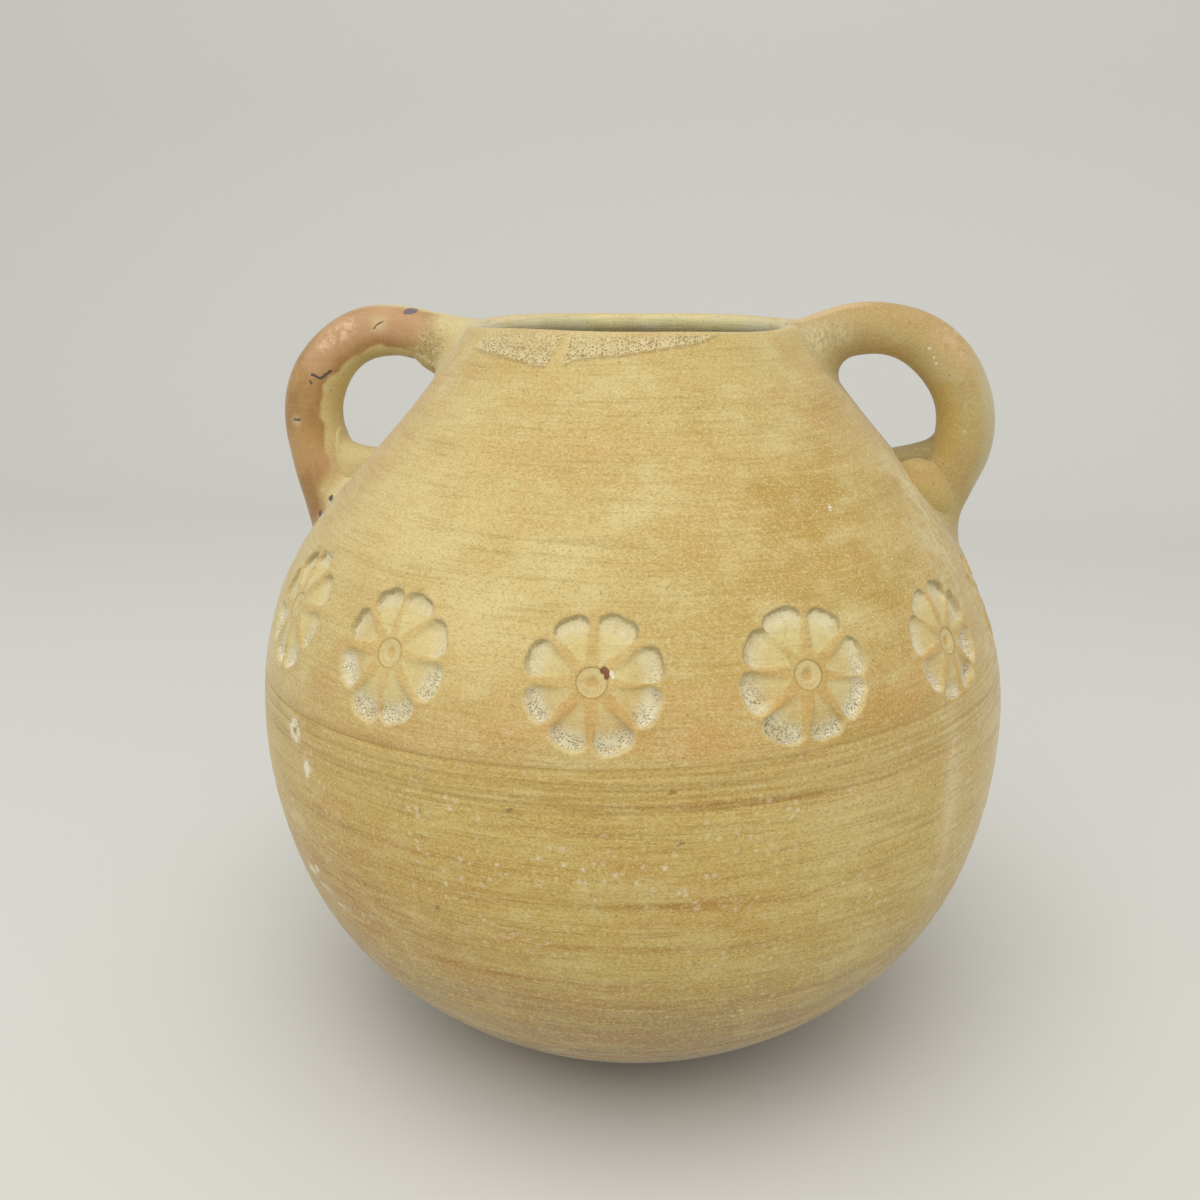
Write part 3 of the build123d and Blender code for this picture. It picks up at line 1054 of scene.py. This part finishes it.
def build_rim():
    """Rings up the outside of the rim, over the lip and down to the joint, crumbly in the rough patch."""
    angle = round_axis(420)
    start = length_at_height(rim_joint_height)
    end = length_at_height(rim_joint_height, True)
    length = spread(start, end, 0.42)[:, None] + 0 * angle
    height = height_at(length)
    outside = smooth(length, lip_at + 1.5, lip_at - 1.5)
    patch, ledge = rough_patch(angle, height)
    patch = patch * outside
    crumbs = 0.16 * waves(29 * angle, height * 3, count=9, reach=1.5, seed=6)
    rings = ring_points(angle, length, wall_lift(angle, height, length) + patch * (crumbs - 0.25))
    # Painted highlight along the crest of the lip, strongest at the front
    lip_highlight = np.exp(-(((length - lip_at + 0.5) / 1.4) ** 2)) * (0.6 - 0.4 * np.sin(angle))
    marks = {"rough": patch, "ledge": ledge * outside, "inside": 1 - outside, "lip_highlight": lip_highlight}
    quads = ring_quads(*rings.shape[:2], wrap=True)
    return add_piece("rim", rings.reshape(-1, 3), quads, no_fans, pinched_earthenware, marks)


class Coil:
    """A handle's centre line in its own plane: straight from the seat, round the loop, straight to the root
    and a little way into the wall."""

    beyond_root = 14.0

    def __init__(self, turn, seat_depth, loop, drop, run, root, crown, grip):
        self.turn = radians(turn)
        self.loop = loop
        self.crown = crown / 2
        self.grip = grip / 2
        root_at = belly_at + root * (neck_at - belly_at)
        self.down = -90 - drop
        self.seat = np.array([lip_centre[0], lip_height - seat_depth])
        self.grip_end = np.array([radius_at(root_at), height_at(root_at)]) - heading(self.down) * run
        self.centre = self.grip_end - heading(-drop) * loop
        to_loop = self.centre - self.seat
        self.rise = degrees(atan2(to_loop[1], to_loop[0]) + asin(loop / np.hypot(*to_loop)))
        self.first = np.hypot(*(self.centre + heading(90 + self.rise) * loop - self.seat))
        self.arc = radians(self.rise - self.down) * loop
        self.total = self.first + self.arc + run + self.beyond_root

    def at(self, s):
        """Point, direction angle and half thickness at a length along the coil."""
        turn = np.clip((s - self.first) / self.loop, 0, self.arc / self.loop)
        angle = radians(self.rise) - turn
        before = np.minimum(s - self.first, 0)
        after = np.maximum(s - self.first - self.arc, 0)
        out_angle = angle + pi / 2
        point = self.centre + self.loop * np.stack([np.cos(out_angle), np.sin(out_angle)], -1)
        point = point + (before + after)[..., None] * np.stack([np.cos(angle), np.sin(angle)], -1)
        share = smooth(s, self.first, self.first + self.arc)
        flare = seat_flare * smooth(s, self.first + 10, 0)
        return point, angle, self.crown + share * (self.grip - self.crown) + flare

    def world(self, u, y, z):
        """Point in the pot's frame from reach, sideways and height on the handle's side of the pot."""
        c = cos(self.turn)
        n = sin(self.turn)
        return np.stack([u * c - y * n, u * n + y * c, z + 0 * u], -1)

    def distance(self, points):
        """Distance of points outside the plain coil: the least of those from its two straights and loop."""
        c = cos(self.turn)
        n = sin(self.turn)
        y = -points[..., 0] * n + points[..., 1] * c
        flat = np.stack([points[..., 0] * c + points[..., 1] * n, points[..., 2]], -1)
        on_first = np.clip((flat - self.seat) @ heading(self.rise), -20, self.first)
        bearing = np.arctan2(flat[..., 1] - self.centre[1], flat[..., 0] - self.centre[0])
        swing = np.clip(radians(90 + self.rise) - bearing, 0, self.arc / self.loop)
        on_loop = self.first + swing * self.loop
        on_last = self.first + self.arc + np.clip((flat - self.grip_end) @ heading(self.down), 0, 40)
        gaps = []
        for s in (on_first, on_loop, on_last):
            point, _, half = self.at(s)
            gaps.append(np.sqrt(((flat - point) ** 2).sum(-1) + y * y) - half)
        return np.min(gaps, axis=0)


left_coil = Coil(**left_values)
right_coil = Coil(**right_values)
near_part = (along > belly_at - 5) & (along < inner_neck_at)
near_section = section[near_part]
near_along = along[near_part]
near_outward = outward[near_part]


def off_wall(points):
    """Direction, length and distance off the outer wall of points near the shoulder or lip, in batches."""
    flat = np.stack([np.hypot(points[..., 0], points[..., 1]), points[..., 2]], -1).reshape(-1, 2)
    nearest = []
    for batch in np.array_split(flat, max(1, len(flat) // 4000)):
        nearest.append(np.argmin(((batch[:, None] - near_section[None]) ** 2).sum(-1), axis=1))
    nearest = np.concatenate(nearest)
    gap = flat - near_section[nearest]
    slide = gap[:, 0] * -near_outward[nearest, 1] + gap[:, 1] * near_outward[nearest, 0]
    rise = (gap * near_outward[nearest]).sum(-1)
    shape = points.shape[:-1]
    angle = np.arctan2(points[..., 1], points[..., 0])
    return angle, (near_along[nearest] + slide).reshape(shape), rise.reshape(shape)


def unit(vectors):
    """Vectors brought to length 1."""
    return vectors / np.linalg.norm(vectors, axis=-1)[:, None]


def skirt(coil, ring, back, fillet):
    """Rows from a ring of the coil down on to the wall and a little way into it, in a hollow fillet: the
    distance off the wall falls on a quarter circle while the distance off the coil rises on the same quarter
    circle. Where the fillet would pass over the crest of the lip, the rows run in one soft curve to the crest
    instead."""
    angle, length, _ = off_wall(ring)
    centre_angle = np.arctan2(np.sin(angle).mean(), np.cos(angle).mean())
    centre_length = length.mean()
    radius = radius_at(centre_length)
    across = ((angle - centre_angle + pi) % (2 * pi) - pi) * radius
    bearing = np.arctan2(length - centre_length, across)
    far = np.hypot(length - centre_length, across)
    up = np.sin(bearing)
    crest = np.where(up > 0.02, (lip_at + 0.5 - centre_length) / np.maximum(up, 0.02), 99)

    def on_wall(reach, lift):
        """Points off the wall at a reach from the middle of the handle's end."""
        return wall_point(centre_angle + reach * np.cos(bearing) / radius, centre_length + reach * up, lift)

    rows = []
    for turn in skirt_turns:
        high = np.minimum(far + 30, crest)
        low = np.minimum(far * 0.4, high)
        for _ in range(26):
            reach = (low + high) / 2
            foot = on_wall(reach, fillet * (1 - sin(turn)))
            inside = coil.distance(foot) < fillet * (1 - cos(turn))
            low = np.where(inside, reach, low)
            high = np.where(inside, high, reach)
        rows.append(foot)
    arrive = unit(on_wall(reach + 0.3, 0) - foot)
    third = np.linalg.norm(foot - ring, axis=-1)[:, None] / 3
    soft = bezier(ring, ring + unit(ring - back) * third, foot - arrive * third, foot, len(rows) + 1)[1:]
    cut = smooth(fillet - coil.distance(foot), 0.05, 0.5)[:, None]
    rows = np.array(rows) * (1 - cut) + soft * cut
    into_wall = [on_wall(reach + 0.5, -0.12), on_wall(reach + 0.9, -0.8)]
    pole = wall_point(np.array(centre_angle), np.array(centre_length), -1.5)
    return np.concatenate([rows, into_wall]), pole


def build_handle(coil, top, root_outer, root_inner, seed):
    """A lumpy coil, a profile carried along the centre line, whose ends flow on to the wall in skirts with
    fillets of the radii given at the top and on the two sides of the root. Returns its mesh, the place of
    each point along it and the angle round it."""
    columns = 120
    theta = np.arange(columns) / columns * 2 * pi
    s_line = np.linspace(0, coil.total, 420)
    phase = np.random.default_rng(seed).uniform(0, 2 * pi, 6)

    def surface(s, th):
        """Point of the coil's skin, lumpy along and round it."""
        point, angle, half = coil.at(s)
        lumps = 0.2 * np.sin(s / 7 + phase[0] + np.cos(th + phase[1]))
        lumps = lumps + 0.16 * np.sin(2 * th + s / 11 + phase[2])
        lumps = lumps + 0.1 * np.sin(s / 3.1 + phase[3] + 1.5 * np.sin(th + phase[4]))
        free_end = coil.total - coil.beyond_root
        half = half + lumps * smooth(s, coil.first, coil.first + 8) * smooth(s, free_end, free_end - 10)
        across = np.cos(th) * half
        u = point[..., 0] - np.sin(angle) * across
        z = point[..., 1] + np.cos(angle) * across
        return coil.world(u, -np.sin(th) * half, z)

    skin = surface(s_line[:, None] + 0 * theta, theta[None] + 0 * s_line[:, None])
    rise = off_wall(skin)[2]
    middle = int(np.searchsorted(s_line, coil.first + coil.arc * 0.5))

    def crossing(ahead, level):
        """First length on the way from the middle at which each column comes down to a level off the wall."""
        below = rise[ahead] <= level
        below[-1] = True
        first = np.argmax(below, axis=0)
        after = ahead[first]
        before = np.r_[middle, ahead][first]
        column = np.arange(columns)
        a = rise[before, column]
        b = rise[after, column]
        return s_line[before] + (s_line[after] - s_line[before]) * np.clip((a - level) / (a - b + 1e-9), 0, 1)

    top_fillet = top * (1 - 0.5 * np.cos(theta))
    root_fillet = root_inner + (root_outer - root_inner) * (1 + np.cos(theta)) / 2
    s_top = crossing(np.arange(middle - 1, -1, -1), top_fillet)
    s_root = crossing(np.arange(middle + 1, len(s_line)), root_fillet)
    share = np.linspace(0, 1, 190)[:, None]
    tube = surface(s_top + (s_root - s_top) * share, theta + 0 * share)
    top_rows, top_pole = skirt(coil, tube[0], tube[1], top_fillet)
    root_rows, root_pole = skirt(coil, tube[-1], tube[-2], root_fillet)
    mesh = close_ends(np.concatenate([top_rows[::-1], tube, root_rows]), top_pole, root_pole)
    beyond = np.arange(1, len(root_rows) + 1) / 10
    place = np.concatenate([-beyond[::-1], share[:, 0], 1 + beyond])[:, None] + 0 * theta
    return mesh, place, theta + 0 * place


def spot(points, x, z, size):
    """Soft round mark on a handle's front face, by place across and height."""
    return np.exp(-(((points[:, 0] - x) ** 2 + (points[:, 2] - z) ** 2) / size**2)) * (points[:, 1] < 1)


def crack(points, places, width):
    """Thin line on a handle's front face through places given across and up."""
    flat = points[:, [0, 2]]
    nearest = np.full(len(points), 99.0)
    for start, end in zip(np.array(places[:-1]), np.array(places[1:])):
        way = end - start
        share = np.clip((flat - start) @ way / (way @ way), 0, 1)
        nearest = np.minimum(nearest, np.hypot(*(flat - start - share[:, None] * way).T))
    return smooth(nearest, width, width * 0.35) * (points[:, 1] < -1)


# Cracks on the left handle: places across and up, then width
left_cracks = [
    ([(-71.4, 147.6), (-69.6, 146.7), (-67.2, 148.5)], 0.42),
    ([(-72.0, 146.3), (-71.8, 145.6)], 0.4),
    ([(-76.3, 137.5), (-75.0, 137.5)], 0.42),
    ([(-56.6, 157.8), (-55.9, 158.6), (-54.6, 159.3)], 0.26),
]


def build_left_handle():
    """Left handle, rubbed orange over its front and outer face, with a chip and a few cracks."""
    mesh, place, theta = build_handle(left_coil, top=3.6, root_outer=2.4, root_inner=4.2, seed=21)
    points = mesh[0]
    ragged = 0.08 * np.sin(place * 17 + 1) + 0.05 * np.sin(place * 39 + 2 * theta) + 0.02 * np.sin(place * 83)
    around = smooth(np.cos(theta + 0.75) + ragged, 0.05, 0.2)
    behind = smooth((theta + pi) % (2 * pi) - pi, 0.05, 0.35) * smooth(place, 0.62, 0.42)
    from_seat = smooth(place + 0.02 * np.sin(3 * theta), 0.03, 0.1)
    to_root = np.maximum(smooth(place, 1.0, 0.93), smooth(np.cos(theta + 0.35), 0.2, 0.6))
    top = smooth(np.cos(theta - 0.3), 0.72, 0.9) * smooth(place, 0.4, 0.2)
    burnish = (1 - behind) * around * from_seat * to_root * (1 - top)
    # Painted shade on the underside near the crown
    under = smooth(-np.cos(theta), 0.55, 0.9) * smooth(place, 0.5, 0.3)
    slip = np.maximum(smooth(place, 1.2, 1.5), 0.9 * smooth(place, -0.25, -0.6))
    blush = crack(points, [(-48.0, 158.0), (-57.0, 159.5), (-66.0, 156.0), (-70.0, 151.0)], 5.0)
    pits = np.maximum(spot(points, -68.3, 119.9, 0.8), spot(points, -71.2, 116.3, 0.8))
    cracks = np.max([crack(points, *one) for one in left_cracks], axis=0)
    marks = {
        "burnish": padded(burnish, 2),
        "blush": np.maximum(blush, 0.7 * spot(points, -69.8, 128.5, 3.6)),
        # Painted highlight in peach along the crown
        "peach_highlight": crack(points, [(-62.7, 158.0), (-68.7, 154.2)], 2.6),
        "rough": np.maximum(spot(points, -43.9, 154.4, 3.6), spot(points, -47.5, 152.0, 3.4)),
        "under": padded(under, 2),
        "ring": np.maximum(spot(points, -55.6, 158.6, 1.6), spot(points, -75.8, 137.3, 1.1)),
        "slip": padded(slip, 2),
        "crack": np.maximum(cracks, pits),
        "chip": crack(points, [(-49.9, 161.3), (-48.3, 161.5)], 0.9),
    }
    return add_piece("rolled_handle_left", *mesh, burnished_earthenware, marks)


def build_right_handle():
    """Right handle, tan, with an orange tint over its crown, a grey outer edge and a brushed upper end."""
    mesh, place, theta = build_handle(right_coil, top=3.6, root_outer=5.0, root_inner=3.6, seed=22)
    points = mesh[0]
    crown = smooth(np.cos(theta - 0.4), 0.2, 0.9) * smooth(place, 0.1, 0.3) * smooth(place, 0.72, 0.5)
    grey = smooth(np.cos(theta - 0.2), 0.5, 0.95) * smooth(place, 0.5, 0.62) * smooth(place, 0.98, 0.9)
    seat = smooth(np.cos(theta + 0.1), 0.72, 0.86) * smooth(place, 0.26, 0.1)
    hollow = smooth(np.cos(theta - 2.4), 0.75, 0.95) * smooth(place, 0.45, 0.6) * smooth(place, 1.0, 0.9)
    white_grains = ((61.7, 155.0), (62.7, 153.2), (63.25, 152.0))
    marks = {
        "burnish": padded(crown, 2),
        "edge": padded(grey, 2),
        "seat": padded(seat, 2),
        "inner": padded(hollow, 2),
        "slip": padded(smooth(place, 1.45, 1.75), 2),
        # Painted highlight in peach on the crown
        "peach_highlight": np.maximum(spot(points, 66.0, 157.0, 3.2), 0.8 * spot(points, 68.0, 153.5, 2.5)),
        "smear": np.maximum(spot(points, 39.5, 156.6, 4.0), spot(points, 43.8, 157.2, 3.2)),
        "spot": np.max([spot(points, x, z, 0.4) for x, z in white_grains], axis=0),
    }
    return add_piece("rolled_handle_right", *mesh, rolled_earthenware, marks)


def lump(coil, reach, height, size, lean, shift, seed):
    """Ball of clay drawn out along, across and through the corner of handle and wall, with a few dents."""
    polar = np.linspace(0, pi, 48)[1:-1, None]
    turn = round_axis(80)
    pick = np.random.default_rng(seed)
    x = np.sin(polar) * np.cos(turn)
    y = np.sin(polar) * np.sin(turn)
    z = -np.cos(polar) + 0 * turn
    swell = 1.0
    for _ in range(5):
        way = pick.normal(size=3)
        way /= np.linalg.norm(way)
        swell = swell - 0.05 * np.exp(((x * way[0] + y * way[1] + z * way[2]) - 1) / 0.12)
    c = cos(radians(lean))
    n = sin(radians(lean))

    def stretched(ball):
        """Points of the lump from points of the unit ball."""
        ball = ball * size
        u = reach + ball[..., 0] * c - ball[..., 2] * n
        h = height + ball[..., 0] * n + ball[..., 2] * c
        return coil.world(u, ball[..., 1] + shift, h)

    poles = stretched(np.array([[0, 0, -1], [0, 0, 1]]))
    return close_ends(stretched(np.stack([x, y, z], -1) * swell[..., None]), *poles)


web_depth = 4.5


def web(coil, wall_end, handle_end, level, tilt, handle_face, shift):
    """Web of clay that fills the corner under a handle: an oval section carried from inside the wall to
    inside the coil. Its top is level at the wall end, tilts up and sweeps up at the handle's face, and it
    spreads to the wall."""
    u = np.linspace(wall_end, handle_end, 60)[:, None]
    turn = round_axis(72)
    top = level + tilt * (u - wall_end) + 2.0 * np.exp(np.minimum(u - handle_face, 0.6) / 0.9)
    low = np.interp(u, near_section[::-1, 0], near_section[::-1, 1]) - web_depth
    half = np.maximum(top - low, 0.6) / 2
    wide = 4.4 + 3.0 * smooth(u, handle_face - 3, wall_end) ** 1.5
    y = wide * np.sign(np.cos(turn)) * np.abs(np.cos(turn)) ** 0.8
    z = top - half + half * np.sign(np.sin(turn)) * np.abs(np.sin(turn)) ** 0.8
    poles = coil.world(u[[0, -1], 0], np.full(2, shift), (top - half)[[0, -1], 0])
    return close_ends(coil.world(u + 0 * turn, y + shift, z), *poles)


def build_wad(name, material, *shapes, shade=0.0, rough=0.0):
    """One wad from the closed shapes pressed together in it; the first may be shaded or rough."""
    starts = np.cumsum([0] + [len(points) for points, _, _ in shapes])
    points = np.concatenate([shape[0] for shape in shapes])
    quads = np.concatenate([shape[1] + start for shape, start in zip(shapes, starts)])
    fans = np.concatenate([shape[2] + start for shape, start in zip(shapes, starts)])
    first = np.arange(len(points)) < starts[1]
    return add_piece(name, points, quads, fans, material, {"shade": shade * first, "rough": rough * first})


def place_piece(piece, slot, *nodes):
    """Fixes a piece to the pot's body, in place of the nodes that it stands for."""
    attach(piece, "root")
    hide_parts(*nodes)


place_piece(build_bowl(), "scraped_clay", "lower_bowl")
place_piece(build_shoulder(), "ochre_clay", "shoulder")
place_piece(build_rim(), "ochre_clay", "rim_coil")
place_piece(build_left_handle(), "burnished_clay", "left_handle")
place_piece(build_right_handle(), "handle_clay", "right_handle")

left_top = lump(left_coil, reach=45.8, height=151.4, size=(2.4, 4.8, 6.2), lean=-50, shift=0, seed=31)
left_web = web(left_coil, wall_end=55, handle_end=68.8, level=129.7, tilt=0.17, handle_face=66.8, shift=0)
right_top = lump(right_coil, reach=42.2, height=152.2, size=(2.2, 4.6, 5.2), lean=-32, shift=0, seed=33)
right_web = web(right_coil, wall_end=52, handle_end=67.5, level=132.0, tilt=0.28, handle_face=65.2, shift=1.5)
right_lobe = lump(right_coil, reach=62.0, height=124.6, size=(6.8, 5.2, 8.0), lean=33, shift=-4.2, seed=34)
wads = [
    (build_wad("wad_left_upper", pressed_cream_clay, left_top, rough=1.0), "left_upper_wad"),
    (build_wad("wad_left_lower", pressed_cream_clay, left_web), "left_lower_wad"),
    (build_wad("wad_right_upper", pressed_tan_clay, right_top), "right_upper_wad"),
    # The right web carries painted shade
    (build_wad("wad_right_lower", pressed_tan_clay, right_web, right_lobe, shade=1.0), "right_lower_wad"),
]
for piece, cad_node in wads:
    place_piece(piece, "luting_clay", cad_node)


# Studio: a pale sweep, a soft key from the upper left front and a white sky
def matte_paper(name, code):
    """Matte paper: one flat colour with no gloss."""
    material = bpy.data.materials.new(name)
    material.use_nodes = True
    shader = material.node_tree.nodes["Principled BSDF"]
    shader.inputs["Base Color"].default_value = linear(code)
    shader.inputs["Roughness"].default_value = 1.0
    shader.inputs["Specular IOR Level"].default_value = 0.0
    return material


def build_sweep():
    """Floor that curves up into a backdrop behind the pot: a quarter circle carried from side to side."""
    bend = np.radians(np.linspace(0, 90, 20))
    bend_radius = 300
    bend_start = 500
    half_width = 1500
    y = np.r_[-900, bend_start + bend_radius * np.sin(bend), bend_start + bend_radius]
    z = np.r_[0, bend_radius - bend_radius * np.cos(bend), 1500]
    sides = [np.stack([np.full_like(y, x), y, z], 1) for x in (-half_width, half_width)]
    points = np.stack(sides, 1).reshape(-1, 3)
    quads = 2 * np.arange(len(y) - 1)[:, None] + [0, 1, 3, 2]
    return add_piece("sweep", points, quads, no_fans, matte_paper("sweep_paper", "#DEDDD7"))


build_sweep()


def area_light(name, place, target, size, power):
    """Soft square light at a place, facing a target, both in millimetres."""
    light = bpy.data.lights.new(name, "AREA")
    light.size = size * MM
    light.energy = power
    lamp = bpy.data.objects.new(name, light)
    lamp.location = np.array(place) * MM
    away = np.array(place) - np.array(target)
    lamp.rotation_euler = (atan2(np.hypot(away[0], away[1]), away[2]), 0, atan2(away[1], away[0]) + pi / 2)
    bpy.context.scene.collection.objects.link(lamp)


area_light("key", place=(-25, -430, 900), target=(0, 0, 80), size=800, power=4.3)
world = bpy.data.worlds.new("studio")
world.use_nodes = True
bpy.context.scene.world = world
sky = world.node_tree.nodes["Background"]
sky.inputs["Color"].default_value = linear("#FFFFFF")
sky.inputs["Strength"].default_value = 0.68

# Camera
camera_turn = 8.0
camera_reach = 264.95
camera_height = 174.26
camera_pitch = 16.26
camera_yaw = 1.57
camera = bpy.data.objects.new("camera", bpy.data.cameras.new("camera"))
bpy.context.scene.collection.objects.link(camera)
camera.data.lens = 36.0
camera.data.sensor_width = 36.0
camera.data.clip_start = 0.01
camera.location = (
    camera_reach * sin(radians(camera_turn)) * MM,
    -camera_reach * cos(radians(camera_turn)) * MM,
    camera_height * MM,
)
camera.rotation_euler = (radians(90 - camera_pitch), 0, radians(camera_turn + camera_yaw))
bpy.context.scene.camera = camera
bpy.context.scene.view_settings.view_transform = "Standard"
